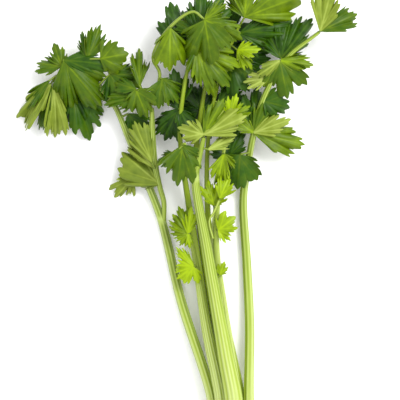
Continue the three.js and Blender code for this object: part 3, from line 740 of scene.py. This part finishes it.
@dataclass(frozen=True)
class LeafSkin:
    """Living celery leaf, waxed by its own cuticle.

    The upper side is satin and deep, and quilted between sunken veins. The under side is paler and
    duller, with veins that stand out light. `age_and_shade_stops` runs from young to old; its darkest
    end is also painted shade, for blades that lie deep under the others.
    """

    name: str
    age_and_shade_stops: tuple[tuple[float, str], ...]
    vein_lightness: float
    roughness: float
    mottle_mm: float = 9.0
    grain_mm: float = 1.4  # cell blisters, drawn coarser than life so that they show

    def make(self) -> bpy.types.Material:
        """Build the material.

        Returns:
            The finished leaf side.
        """
        material, tree = fresh_material(self.name)
        where = add_node(tree, "ShaderNodeTexCoord").outputs["Object"]
        tone = read_attribute(tree, "tone")
        vein = read_attribute(tree, "vein")
        mottle = add_noise(tree, where, 1 / (self.mottle_mm * MM), 3.0)
        shift = scale_and_add(tree, mottle, 0.44, -0.22)
        # Age and, on deep blades, painted shade set the level; the mottle shifts it at random.
        age_and_shade_level = scale_and_add(tree, tone, 1.0, shift, clamp=True)
        veined = scale_and_add(tree, vein, -self.vein_lightness, age_and_shade_level, clamp=True)
        flesh = add_ramp(tree, veined, self.age_and_shade_stops)
        grain = add_noise(tree, where, 1 / (self.grain_mm * MM), 2.0)
        bump = add_node(tree, "ShaderNodeBump", Height=grain, Strength=0.25, Distance=0.3 * MM)
        finish_material(tree, Base_Color=flesh, Roughness=self.roughness,
                        Normal=bump.outputs["Normal"], IOR=1.42, Specular_IOR_Level=0.22)
        return material


@dataclass(frozen=True)
class StalkSkin:
    """Celery stalk: wet, crisp flesh under a thin waxed skin, with strings under its ribs.

    The ribs stand paler than the grooves, and the stalk blanches towards the butt. Down the middle
    of the back the colour is lighter, a painted highlight, and towards the sides darker, painted
    shade.
    """

    name: str = "celery_stalk_skin"
    streak_mm: float = 2.2
    rib_and_highlight_share: float = 0.8  # how much of a ridge's crest, and of the painted highlight down the back, takes the light colour
    roughness: float = 0.36

    def make(self) -> bpy.types.Material:
        """Build the material.

        Returns:
            The finished stalk skin.
        """
        material, tree = fresh_material(self.name)
        drawn = add_node(tree, "ShaderNodeCombineXYZ", X=read_attribute(tree, "girth"),
                         Y=read_attribute(tree, "reach"))
        streak = add_noise(tree, drawn.outputs[0], 1 / self.streak_mm, 3.0)
        shift = scale_and_add(tree, streak, 0.4, -0.2)
        level = scale_and_add(tree, read_attribute(tree, "green"), 1.0, shift, clamp=True)
        flesh = add_ramp(tree, level, (
            (0.0, "b2bf74"), (0.3, "94a636"), (0.55, "7b9210"), (0.8, "64780a"), (1.0, "4c6207")))
        # The light colour marks the ridges and node rings, and paints a highlight down the middle of
        # the back.
        share = scale_and_add(tree, read_attribute(tree, "rib"), self.rib_and_highlight_share, 0.0)
        colour = add_node(tree, "ShaderNodeMix", {"data_type": "RGBA"}, Factor=share, i6=flesh,
                          i7=linear("aebd70"))
        bump = add_node(tree, "ShaderNodeBump", Height=streak, Strength=0.2, Distance=0.3 * MM)
        finish_material(tree, Base_Color=colour.outputs[2], Roughness=self.roughness,
                        Normal=bump.outputs["Normal"], IOR=1.4)
        return material


@dataclass(frozen=True)
class ButtFlesh:
    """The cut stem: cream flesh, matt, that browns a little where the knife left it open."""

    name: str = "celery_butt_flesh"
    blotch_mm: float = 7.0

    def make(self) -> bpy.types.Material:
        """Build the material.

        Returns:
            The finished flesh.
        """
        material, tree = fresh_material(self.name)
        where = add_node(tree, "ShaderNodeTexCoord").outputs["Object"]
        blotch = add_noise(tree, where, 1 / (self.blotch_mm * MM), 5.0)
        flesh = add_ramp(tree, blotch, ((0.3, "eef0cc"), (0.55, "dfe3ac"), (0.75, "cbd48c")))
        browned = add_ramp(tree, blotch, ((0.35, "e9e2bc"), (0.55, "d8c896"), (0.72, "b3945c")))
        colour = add_node(tree, "ShaderNodeMix", {"data_type": "RGBA"},
                          Factor=read_attribute(tree, "cut"), i6=flesh, i7=browned)
        bump = add_node(tree, "ShaderNodeBump", Height=blotch, Strength=0.4, Distance=0.6 * MM)
        finish_material(tree, Base_Color=colour.outputs[2], Roughness=0.6,
                        Normal=bump.outputs["Normal"], IOR=1.4)
        return material


@dataclass(frozen=True)
class Finishes:
    """Every material of the head, made once."""

    upper: bpy.types.Material
    under: bpy.types.Material
    stalk: bpy.types.Material
    butt: bpy.types.Material

    @classmethod
    def make(cls) -> "Finishes":
        """Build the set.

        Returns:
            The head's materials.
        """
        # The upper side's darkest stops give old leaves their colour and paint the shade on deep
        # blades.
        upper = LeafSkin("celery_leaf_upper_side", (
            (0.0, "90aa09"), (0.3, "688004"), (0.55, "475f02"), (0.78, "2d4f02"), (1.0, "112d02")),
            0.2, 0.4)
        under = LeafSkin("celery_leaf_under_side", (
            (0.0, "98a84e"), (0.4, "748428"), (0.7, "52661c"), (1.0, "3c5218")), 0.3, 0.52)
        return cls(upper.make(), under.make(), StalkSkin().make(), ButtFlesh().make())


# ---- stalks ------------------------------------------------------------------------------


@dataclass
class Stalk:
    """A stalk or branch: a ribbed crescent section swept along its route."""

    plan: StalkPlan
    origin: Vector
    around: int = 128
    ring_mm: float = 4.0

    def points(self) -> list[Vector]:
        """Give the points of the centre line, with the foot on the butt where there is one.

        Returns:
            The points, from foot to tip, in millimetres.
        """
        points = [Vector(p) for p in self.plan.route]
        if self.plan.seat:
            angle, distance = self.plan.seat
            out = Vector((math.cos(math.radians(angle)), 0, math.sin(math.radians(angle))))
            start = Vector((0, FOOT_START, BUTT_AXIS_HEIGHT)) + out * distance * FOOT_START_SHARE
            points[:0] = [start, Vector((0, FOOT_FULL, BUTT_AXIS_HEIGHT)) + out * distance]
        return points

    def line(self, samples: int = 240) -> np.ndarray:
        """Sample the centre line evenly.

        Args:
            samples: How many places to give back.

        Returns:
            Rows of millimetres.
        """
        return centre_line(self.points(), samples)

    def build(self, skin: bpy.types.Material) -> bpy.types.Object:
        """Model the stalk.

        Args:
            skin: The stalk's material.

        Returns:
            The finished stalk.
        """
        coarse = self.line()
        length = float(np.linalg.norm(np.diff(coarse, axis=0), axis=1).sum())
        rings = max(12, round(length / self.ring_mm))
        line = self.line(rings + 1)
        tube = sweep(self.plan.node + "_skin", line, self.plan, self.around, self.origin)
        tube.data.materials.append(skin)
        return tube


def sweep(name: str, line: np.ndarray, plan: StalkPlan, around: int,
          origin: Vector) -> bpy.types.Object:
    """Sweep a ribbed crescent along a line and close its ends.

    Args:
        name: The new piece's name.
        line: The centre line, evenly sampled, in millimetres.
        plan: The stalk's back, widths, ribs, green and ring.
        around: How many faces go round.
        origin: The layout's zero in the frame.

    Returns:
        The closed tube.
    """
    rings = len(line) - 1
    tube = add_grid(name, around, rings)
    across, length = grid_places(tube)
    index = np.rint(length * rings).astype(int)
    tangents = np.gradient(line, axis=0)
    tangents /= np.linalg.norm(tangents, axis=1)[:, None]
    facing = np.array(plan.back)
    normals = facing - tangents * (tangents @ facing)[:, None]
    normals /= np.linalg.norm(normals, axis=1)[:, None]
    sides = np.cross(tangents, normals)
    turn = -across * math.pi
    ring = np.exp(-((line[index, 1] - plan.ring) / RING_WIDTH) ** 2)
    width = np.interp(length, np.linspace(0, 1, len(plan.widths)), plan.widths)
    width = width * (1 + RING_SWELL * ring)
    thickness = SECTION_BASE + width * SECTION_SHARE
    channel = np.maximum(0, width - ROUND_WIDTH) * CHANNEL_SHARE
    x, z = np.sin(turn), np.cos(turn)
    on_back = np.clip(z * 1.6 + 0.5, 0, 1)
    slant = np.arcsin(np.clip(x, -1, 1))
    phase = slant * plan.ribs / math.pi + 0.12 * np.sin(slant * 3 + plan.ribs)
    strength = 0.35 + 0.65 * np.abs(np.sin(np.rint(phase) * 12.9 + plan.ribs))
    crest = (0.5 + 0.5 * np.cos(phase * math.tau)) * (1 - ring)
    stand = RIB_HEIGHT * np.clip(width / 12, 0.25, 1.4) * (crest * strength - 0.3)
    stand = stand * (0.2 + 0.8 * on_back)
    places = (line[index]
              + sides[index] * (x * (width / 2 + stand))[:, None]
              + normals[index] * (z * (thickness / 2 + stand) + channel * (0.5 - x * x))[:, None])
    places[:, 2] = rest_on_table(places[:, 2], STALK_REST)
    move_vertices(tube, places, origin)
    # middle is 1 down the middle of the back and 0 at its sides; below it paints a highlight there and
    # shade at the sides.
    middle = 1 - x * x
    pale_ribs_and_highlight = crest * strength * on_back * (0.35 + 0.65 * middle) * np.clip(width / FULL_STRING, 0, 1)
    set_attribute(tube, "rib", np.maximum(pale_ribs_and_highlight, ring * on_back))
    blanched = 0.15 + 0.85 * np.clip(places[:, 1] / BLANCHED_TO, 0, 1)
    # The first term is painted light: lighter down the middle as a highlight, greener at the sides as
    # shade. The second makes the grooves greener than the ridges.
    side_shade_and_grooves = 0.34 * (0.45 - middle) + 0.24 * (0.5 - crest) * on_back
    set_attribute(tube, "green", plan.green * blanched + side_shade_and_grooves - 0.3 * ring + 0.06)
    set_attribute(tube, "girth", slant * width / 2)
    set_attribute(tube, "reach", length * rings * STREAK_DRAW)
    close_skin(tube, weld_mm=0.01, crease=50, capped=True)
    return tube


# ---- leaves ------------------------------------------------------------------------------


@dataclass(frozen=True)
class Lobe:
    """One lobe of a blade: its place across the fan, its reach, its width and how it curls."""

    across: float
    reach: float
    half_width: float
    curl: float


@dataclass
class Blade:
    """A lobed, toothed blade: a fan of grid faces, veined, arched, ruffled and given thickness.

    Inside the fan a place is `u`, from -1 at one side to 1 at the other, and `s`, from 0 at the
    base to 1 at the rim.
    """

    plan: BladePlan
    start: Vector
    origin: Vector
    luck: random.Random
    fan: float = 1.24  # the fan's half angle, in spreads
    side_lobe: float = 0.5  # where the outer lobes stand across the fan
    low_lobe: float = 0.86
    row_mm: float = 2.8
    columns_per_tooth: int = 8
    tooth_pitch: float = 7.4
    tooth_depth: float = 4.6
    thickness: float = 0.35
    quilt: float = 0.2
    vein_angle: float = 36.0  # at which a side vein leaves its parent

    def measure(self) -> None:
        """Work out the blade's length, teeth and lobes from its plan."""
        self.length = (Vector(self.plan.tip) - self.start).length
        self.half_angle = math.radians(self.plan.spread) * self.fan
        self.young = min(max((YOUNG_TONE - self.plan.tone) / YOUNG_STEP, 0), 1)
        rim = 2 * self.half_angle * self.length * 0.8
        pitch = self.tooth_pitch * (1 - 0.3 * self.young)
        self.teeth = max(9, int(rim / pitch) // 2 * 2 + 1)
        side = round(self.side_lobe * self.teeth / 2) * 2 / self.teeth
        low = round(self.low_lobe * self.teeth / 2) * 2 / self.teeth
        self.lobes = [Lobe(0.0, 1.0, 0.34, self.luck.uniform(-0.3, 0.3))]
        for hand in (-1, 1):
            for across, reaches, half_width in ((side, (0.72, 0.96), 0.32), (low, (0.46, 0.74), 0.28)):
                reach = self.luck.uniform(*reaches)
                curl = self.luck.uniform(-1, 1)
                self.lobes.append(Lobe(hand * across, reach, half_width, curl))

    def outline(self, u: np.ndarray) -> np.ndarray:
        """How far the rim stands out at each place across the fan.

        Args:
            u: Places across.

        Returns:
            The reach as a share of the blade's length.
        """
        lobes = self.envelope(u)
        place = (u + 1) / 2 * self.teeth
        lean = np.where(np.abs(u) < 1 / self.teeth, 0, np.sign(u)) / self.columns_per_tooth
        peak = 0.5 - lean
        within = place % 1
        saw = np.where(within < peak, 1 - within / peak, (within - peak) / (1 - peak))
        sizes = np.array([self.luck.uniform(0.45, 1.6) for _ in range(self.teeth + 1)])
        deep = min(self.tooth_depth / self.length, 0.13)
        depth = deep * sizes[np.clip(place.astype(int), 0, self.teeth)]
        return lobes - depth * saw ** 1.2 * np.clip(lobes * 1.4, 0.3, 1)

    def flat(self, u: np.ndarray, s: np.ndarray, rim: np.ndarray) -> np.ndarray:
        """Lay places of the fan out on a plane.

        Args:
            u: Places across.
            s: Places along.
            rim: The outline at each place.

        Returns:
            Rows of millimetres across the midrib and along it.
        """
        reach = self.length * rim * s
        angle = u * self.half_angle
        neck = u * BLADE_NECK * (1 - s)
        return np.stack([reach * np.sin(angle) + neck, reach * np.cos(angle)], axis=1)

    def veins(self) -> list[tuple[np.ndarray, np.ndarray, float]]:
        """Lay out the midrib, a main vein into each lobe, and a side vein into each tooth.

        Returns:
            For each vein its start and end on the plane and its half width in millimetres.
        """
        tips = {lobe: self.point(lobe.across, lobe.reach * 0.96) for lobe in self.lobes}
        found = []
        for lobe, tip in tips.items():
            start = self.point(0, 0.3 * max(0.75 - abs(lobe.across), 0))
            found.append((start, tip, LOBE_VEIN if abs(lobe.across) < 0.6 else LOW_LOBE_VEIN))
        found[0] = (np.zeros(2), found[0][1], MIDRIB)
        for tooth in range(self.teeth):
            u = (tooth + 0.5) / self.teeth * 2 - 1
            lobe = min(self.lobes, key=lambda each: abs(each.across - u))
            if abs(lobe.across - u) < 0.5 / self.teeth:
                continue
            rim = float(self.envelope(np.array([u]))[0])
            end = self.point(u, rim * 0.93)
            axis = tips[lobe] / np.linalg.norm(tips[lobe])
            along = float(end @ axis)
            aside = float(np.linalg.norm(end - axis * along))
            leave = along - aside / math.tan(math.radians(self.vein_angle))
            leave = max(0.22 * self.length * lobe.reach, leave)
            found.append((axis * min(leave, along), end, TOOTH_VEIN))
        return found

    def point(self, u: float, reach: float) -> np.ndarray:
        """Give one place on the plane.

        Args:
            u: The place across the fan.
            reach: How far out from the base, as a share of the blade's length.

        Returns:
            Millimetres across the midrib and along it.
        """
        angle = u * self.half_angle
        return self.length * reach * np.array([math.sin(angle), math.cos(angle)])

    def envelope(self, u: np.ndarray) -> np.ndarray:
        """The outline without its teeth.

        Args:
            u: Places across.

        Returns:
            The reach as a share of the blade's length.
        """
        broad = min(max(self.plan.spread / BROAD_SPREAD, 0.5), 1)
        bay = (0.24 + 0.8 * self.plan.cut) * broad + 0.14 * self.young
        gaps = [(lobe, np.abs(u - lobe.across) / lobe.half_width) for lobe in self.lobes]
        rims = [lobe.reach * (1 - bay * gap ** 2.4) for lobe, gap in gaps]
        return np.maximum(np.max(rims, axis=0), 0.2)

    def vein_marks(self, places: np.ndarray) -> tuple[np.ndarray, np.ndarray]:
        """How far each place lies from the edge of the nearest vein, and how plain the vein is.

        Args:
            places: Rows on the plane.

        Returns:
            Distances in millimetres, and marks from 0 to 1.
        """
        best = np.full(len(places), 99.0)
        mark = np.zeros(len(places))
        for start, end, half in self.veins():
            run = end - start
            share = np.clip((places - start) @ run / max(run @ run, 1e-6), 0, 1)
            gap = np.linalg.norm(places - start - share[:, None] * run, axis=1)
            gap = np.maximum(gap - half * (1 - 0.6 * share), 0)
            best = np.minimum(best, gap)
            plain = np.exp(-(gap / VEIN_FADE) ** 2) * (half / MIDRIB) * (1.1 - 0.6 * share)
            mark = np.maximum(mark, plain)
        return best, mark

    def lift(self, u: np.ndarray, s: np.ndarray, across: np.ndarray) -> np.ndarray:
        """How far the blade's cupping, waves and curled tips raise each place.

        Args:
            u: Places across.
            s: Places along.
            across: Millimetres from the midrib.

        Returns:
            Heights in millimetres.
        """
        soft = 3.0
        fold = (np.sqrt(across ** 2 + soft ** 2) - soft) * math.tan(math.radians(self.plan.fold))
        phases = [self.luck.uniform(0, math.tau) for _ in range(3)]
        slow = 0.08 * np.sin(u * 3.6 + phases[0])
        quick = 0.03 * np.sin(u * 10.5 + phases[1])
        fine = 0.014 * np.sin(u * 19.0 + phases[2])
        curl = -0.1 * self.luck.uniform(0.2, 1.4)
        turned = sum(0.11 * lobe.curl * np.exp(-((u - lobe.across) / 0.2) ** 2)
                     for lobe in self.lobes)
        gap = np.min([np.abs(u - lobe.across) / lobe.half_width for lobe in self.lobes], axis=0)
        cupped = -0.03 * np.clip(gap, 0, 1) ** 2
        twist = math.tan(math.radians(self.luck.uniform(-22, 22))) * across * s ** 2
        waves = (slow + quick + fine) * s ** 2 + turned * s ** 3 + cupped * s ** 2
        return fold * s + twist + self.length * (waves + curl * s ** 5)

    def build(self, name: str, upper: bpy.types.Material,
              under: bpy.types.Material) -> bpy.types.Object:
        """Model the blade.

        Args:
            name: The new piece's name.
            upper: The upper side's material.
            under: The under side's material.

        Returns:
            The finished blade.
        """
        plan = self.plan
        self.measure()
        forward = (Vector(plan.tip) - self.start).normalized()
        roll = math.radians(plan.roll)
        normal = Matrix.Rotation(roll, 3, forward) @ square_to(Vector((0, 0, 1)), forward)
        side = forward.cross(normal)
        upright = math.copysign(1.0, math.cos(roll))
        rows = min(max(round(self.length / self.row_mm), 9), 24)
        grid = add_grid(name, self.teeth * self.columns_per_tooth, rows)
        u, s = grid_places(grid)
        flat = self.flat(u, s, self.outline(u))
        bend = math.radians(plan.droop)
        radius = self.length / (2 * math.sin(bend / 2))
        turn = bend * (flat[:, 1] / self.length - 0.5)
        ahead = radius * (np.sin(turn) + math.sin(bend / 2))
        arch = radius * (np.cos(turn) - math.cos(bend / 2))
        gap, mark = self.vein_marks(flat)
        puff = self.quilt * (1 - np.exp(-gap / 1.8)) * np.clip(s * 2, 0, 1)
        rise = upright * (arch + self.lift(u, s, flat[:, 0])) + puff
        places = (np.array(self.start)
                  + np.outer(flat[:, 0], side) + np.outer(ahead, forward) + np.outer(rise, normal))
        places[:, 2] = rest_on_table(places[:, 2], BLADE_REST)
        move_vertices(grid, places, self.origin)
        set_attribute(grid, "vein", np.minimum(mark, 1))
        # Level from age, and painted shade on deep blades; a little lighter towards the rim.
        set_attribute(grid, "tone", plan.tone + self.luck.uniform(-0.07, 0.07) - 0.07 * s ** 6)
        self.thicken(grid, upper, under)
        return grid

    def thicken(self, grid: bpy.types.Object, upper: bpy.types.Material,
                under: bpy.types.Material) -> None:
        """Give the blade its thickness and its two sides.

        Args:
            grid: The shaped blade.
            upper: The upper side's material.
            under: The under side's material.
        """
        grid.data.materials.append(upper)
        grid.data.materials.append(under)
        select_alone(grid)
        wall = grid.modifiers.new("thickness", "SOLIDIFY")
        wall.thickness = self.thickness * MM
        wall.offset = -1.0
        wall.material_offset = 1
        wall.material_offset_rim = 1
        bpy.ops.object.modifier_apply(modifier=wall.name)
        bpy.ops.object.shade_smooth_by_angle(angle=math.radians(60))


@dataclass
class Spray:
    """A stem and the blades that grew on it."""

    plan: SprayPlan
    bearer: Stalk
    origin: Vector
    luck: random.Random

    def stem(self, name: str, start: Vector, end: Vector,
             finish: bpy.types.Material) -> bpy.types.Object:
        """Model a thin, gently bowed stem.

        Args:
            name: The new piece's name.
            start: Where it leaves.
            end: Where it arrives.
            finish: Its material.

        Returns:
            The stem.
        """
        middle = (start + end) / 2 + Vector((0, 0, (end - start).length * STEM_BOW))
        line = centre_line([start, middle, end], 10)
        up = square_to(Vector((0.05, 0, 1)), (end - start).normalized())
        plan = StalkPlan(name, tuple(up), STEM_WIDTHS, (), ribs=3, green=0.9)
        stem = sweep(name, line, plan, 16, self.origin)
        stem.data.materials.append(finish)
        return stem

    def build(self, finishes: Finishes) -> bpy.types.Object:
        """Model the spray.

        Args:
            finishes: The head's materials.

        Returns:
            The joined spray.
        """
        knot = Vector(self.plan.knot)
        line = self.bearer.line()
        root = Vector(line[np.argmin(np.linalg.norm(line - np.array(knot), axis=1))])
        pieces = []
        if (knot - root).length > SHORTEST_STEM:
            pieces.append(self.stem("stem", root, knot, finishes.stalk))
        for plan in self.plan.blades:
            start = Vector(plan.start) if plan.start else knot
            if plan.start:
                pieces.append(self.stem("stem", knot, start, finishes.stalk))
            blade = Blade(plan, start, self.origin, self.luck)
            pieces.append(blade.build("blade", finishes.upper, finishes.under))
        return join_pieces(pieces, self.plan.node + "_blades")


# ---- butt --------------------------------------------------------------------------------


@dataclass
class Butt:
    """The short stem under the stalks, cut across and a little browned."""

    origin: Vector
    around: int = 64
    rows: int = 40
    cut_depth_mm: float = 1.5  # how deep the browned layer reaches
    profile: tuple[tuple[float, float], ...] = (
        (0.0, 0.6), (0.55, 0.2), (0.8, 0.0), (0.84, 0.8), (0.92, 0.35 * BUTT_LENGTH),
        (1.0, 0.7 * BUTT_LENGTH), (0.8, BUTT_LENGTH), (0.0, BUTT_LENGTH + 3))

    def build(self, flesh: bpy.types.Material) -> bpy.types.Object:
        """Model the butt.

        Args:
            flesh: Its material.

        Returns:
            The finished butt.
        """
        grid = add_grid("butt_flesh", self.around, self.rows)
        across, along = grid_places(grid)
        steps = np.linspace(0, 1, len(self.profile))
        radius = np.interp(along, steps, [p[0] for p in self.profile]) * BUTT_RADIUS
        height = np.interp(along, steps, [p[1] for p in self.profile])
        turn = across * math.pi
        lumps = 1 + 0.03 * np.sin(turn * 5 + 1) + 0.02 * np.sin(turn * 9)
        x, z = np.sin(turn) * radius * lumps, np.cos(turn) * radius * lumps
        places = np.stack([x, height, z + BUTT_AXIS_HEIGHT], axis=1)
        move_vertices(grid, places, self.origin)
        set_attribute(grid, "cut", np.clip(1 - (height - 0.6) / self.cut_depth_mm, 0, 1))
        grid.data.materials.append(flesh)
        close_skin(grid, weld_mm=0.02, crease=45, capped=False)
        return grid


# ---- studio ------------------------------------------------------------------------------


@dataclass
class Studio:
    """The pale table, the soft light and the camera straight above."""

    origin: Vector
    middle_mm: tuple[float, float] = (-35.0, 273.0)
    width_mm: float = 440.0
    camera_height_mm: float = 2400.0
    subject_height_mm: float = 25.0
    sensor_mm: float = 36.0
    table_size: float = 6.0  # in metres, like the key's place, aim and size below
    sky_strength: float = 1.3
    key_place: Place = (1.1, 0.9, 1.7)
    key_aim: Place = (-0.05, 0.05, 0)
    key_size: float = 1.0
    key_watts: float = 41.0

    def table(self) -> None:
        """Lay the plain pale surface under the head."""
        clear_selection()
        bpy.ops.mesh.primitive_plane_add(size=self.table_size, location=(0, 0, 0))
        table = bpy.context.object
        table.name = "table"
        material, tree = fresh_material("matt_white_table")
        finish_material(tree, Base_Color=linear("ffffff"), Roughness=0.9)
        table.data.materials.append(material)

    def light(self) -> None:
        """Set the soft key from the upper right, and an even sky."""
        world = bpy.data.worlds.new("studio_sky")
        world.use_nodes = True
        sky = world.node_tree.nodes["Background"]
        sky.inputs["Color"].default_value = (1, 1, 1, 1)
        sky.inputs["Strength"].default_value = self.sky_strength
        bpy.context.scene.world = world
        bpy.ops.object.light_add(type="AREA", location=self.key_place)
        key = bpy.context.object
        key.name = "key_light"
        key.data.size = self.key_size
        key.data.energy = self.key_watts
        aim = Vector(self.key_aim) - key.location
        key.rotation_euler = aim.to_track_quat("-Z", "Y").to_euler()

    def camera(self) -> None:
        """Hang the camera over the head, with the leaves at the top of its view."""
        x, y = self.middle_mm
        place = self.origin + Vector((x, y, self.camera_height_mm)) * MM
        bpy.ops.object.camera_add(location=place, rotation=(0, 0, 0))
        camera = bpy.context.object
        camera.name = "overhead_camera"
        camera.data.sensor_width = self.sensor_mm
        distance_mm = self.camera_height_mm - self.subject_height_mm
        camera.data.lens = self.sensor_mm * distance_mm / self.width_mm
        camera.data.clip_end = 20.0
        bpy.context.scene.camera = camera
        bpy.context.scene.view_settings.view_transform = "Standard"


def write_sizes() -> None:
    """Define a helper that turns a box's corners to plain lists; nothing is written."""
    def plain(box: object) -> list[list[float]]:
        """Turn a box's two corners to lists.

        Args:
            box: The two corners.

        Returns:
            The corners as lists of plain numbers.
        """
        return [[float(value) for value in corner] for corner in box]


def main() -> None:
    """Build the head, its table, its light and its camera."""
    logging.basicConfig(level=logging.INFO, format="%(message)s")
    origin = layout_origin()
    studio = Studio(origin)
    studio.camera()
    finishes = Finishes.make()
    stalks = {plan.node: Stalk(plan, origin) for plan in STALKS}
    for node, stalk in stalks.items():
        hand_over(stalk.build(finishes.stalk), node)
    hand_over(Butt(origin).build(finishes.butt), "butt")
    luck = random.Random(SEED)
    for plan in SPRAYS:
        spray = Spray(plan, stalks[plan.bearer], origin, luck)
        hand_over(spray.build(finishes), plan.node)
    studio.table()
    studio.light()
    write_sizes()


if __name__ == "__main__":
    main()
